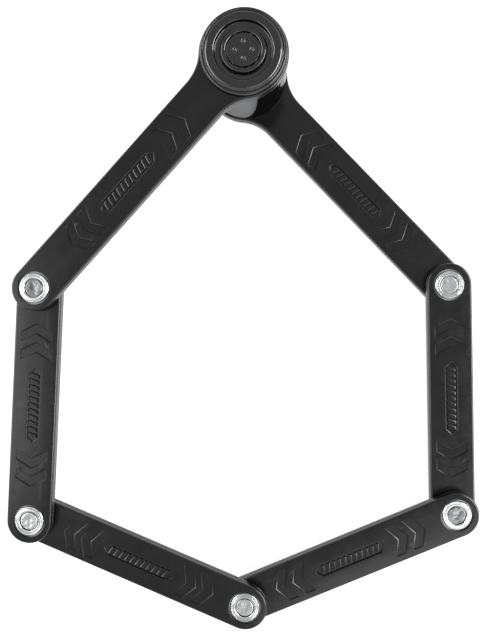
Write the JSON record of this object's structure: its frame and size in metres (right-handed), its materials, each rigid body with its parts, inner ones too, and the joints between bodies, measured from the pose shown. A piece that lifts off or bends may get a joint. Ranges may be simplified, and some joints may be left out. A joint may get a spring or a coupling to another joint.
{
  "type": "folding bike lock",
  "caption": "Folding bike lock: flat jacketed steel links on rivets, closed into a loop by a round lock head with a dust cover.",
  "frame": {"origin": "on the lock head's axis, level with the underside of the lowest link, the face it rests on", "axes": "+Z along the rivets and the head's axis, towards the cap; +Y from the loop's far rivet towards the head; +X towards the lowest links"},
  "size_m": [0.2626, 0.3375, 0.0453],
  "materials": {
    "jacket": "satin moulded black",
    "core": "hardened, ground",
    "zinc": "bright zinc plate",
    "nylon": "natural nylon",
    "cap": "satin black lacquer",
    "barrel": "polished black chrome",
    "brass": "turned",
    "bronze": "sintered"
  },
  "bodies": {
    "link_a": {"jacket_a": "jacket", "steel_core_a": "core", "rivet_1": "zinc", "rivet_ring_top_1": "zinc", "head_cap": "cap", "cap_inner_ring": "cap", "cover_hinge_pin": "zinc", "barrel_sleeve": "barrel", "lock_body": "core", "bolt_guide_bush": "bronze", "head_screw_1": "zinc", "head_screw_2": "zinc", "head_screw_3": "zinc"},
    "link_b": {"jacket_b": "jacket", "steel_core_b": "core", "pivot_spacer_1": "nylon", "rivet_ring_bottom_1": "zinc", "rivet_2": "zinc", "rivet_ring_top_2": "zinc"},
    "link_c": {"jacket_c": "jacket", "steel_core_c": "core", "pivot_spacer_2": "nylon", "rivet_ring_bottom_2": "zinc", "rivet_3": "zinc", "rivet_ring_top_3": "zinc"},
    "link_d": {"jacket_d": "jacket", "steel_core_d": "core", "pivot_spacer_3": "nylon", "rivet_ring_bottom_3": "zinc", "rivet_4": "zinc", "rivet_ring_top_4": "zinc"},
    "link_e": {"jacket_e": "jacket", "steel_core_e": "core", "pivot_spacer_4": "nylon", "rivet_ring_bottom_4": "zinc", "rivet_5": "zinc", "rivet_ring_top_5": "zinc"},
    "link_f": {"jacket_f": "jacket", "steel_core_f": "core", "pivot_spacer_5": "nylon", "rivet_ring_bottom_5": "zinc", "bolt_socket": "core", "rear_cap": "cap"},
    "cover": {"dust_cover": "cap"},
    "key_cylinder": {"key_plug": "brass", "keyway_plate": "zinc", "sidebar": "brass", "drive_cam": "zinc", "code_disc_1": "brass", "code_disc_2": "brass", "code_disc_3": "brass", "code_disc_4": "brass", "code_disc_5": "brass"},
    "bolt": {"lock_bolt": "zinc", "bolt_ball_1": "zinc", "bolt_ball_2": "zinc"}
  },
  "joints": [
    {"name": "rivet_1_pivot", "type": "hinge", "parent": "link_a", "child": "link_b", "pos_m": [-0.11445, -0.1223, 0.035], "axis": [0, 0, 1], "range_deg": [-219.7, 75]},
    {"name": "rivet_2_pivot", "type": "hinge", "parent": "link_b", "child": "link_c", "pos_m": [-0.1221, -0.25107, 0.028], "axis": [0, 0, 1], "range_deg": [-250.5, 20]},
    {"name": "rivet_3_pivot", "type": "hinge", "parent": "link_c", "child": "link_d", "pos_m": [-0.00327, -0.30127, 0.021], "axis": [0, 0, 1], "range_deg": [-225.7, 134.2]},
    {"name": "rivet_4_pivot", "type": "hinge", "parent": "link_d", "child": "link_e", "pos_m": [0.11565, -0.25128, 0.014], "axis": [0, 0, 1], "range_deg": [-247.7, 112.2]},
    {"name": "rivet_5_pivot", "type": "hinge", "parent": "link_e", "child": "link_f", "pos_m": [0.11446, -0.12229, 0.007], "axis": [0, 0, 1], "range_deg": [-222.6, 137.4]},
    {"name": "dust_cover_hinge", "type": "hinge", "parent": "link_a", "child": "cover", "pos_m": [0, 0.0079, 0.0445], "axis": [-1, 0, 0], "range_deg": [0, 95]},
    {"name": "key_turn", "type": "hinge", "parent": "link_a", "child": "key_cylinder", "pos_m": [0, 0, 0.0413], "axis": [0, 0, -1], "range_deg": [0, 90]},
    {"name": "bolt_slide", "type": "slide", "parent": "link_a", "child": "bolt", "axis": [0, 0, -1], "range_m": [0, 0.0056]}
  ],
  "couplings": [
    {"joint": "bolt_slide", "follows": "key_turn", "m_per_rad": 0.0035014}
  ]
}
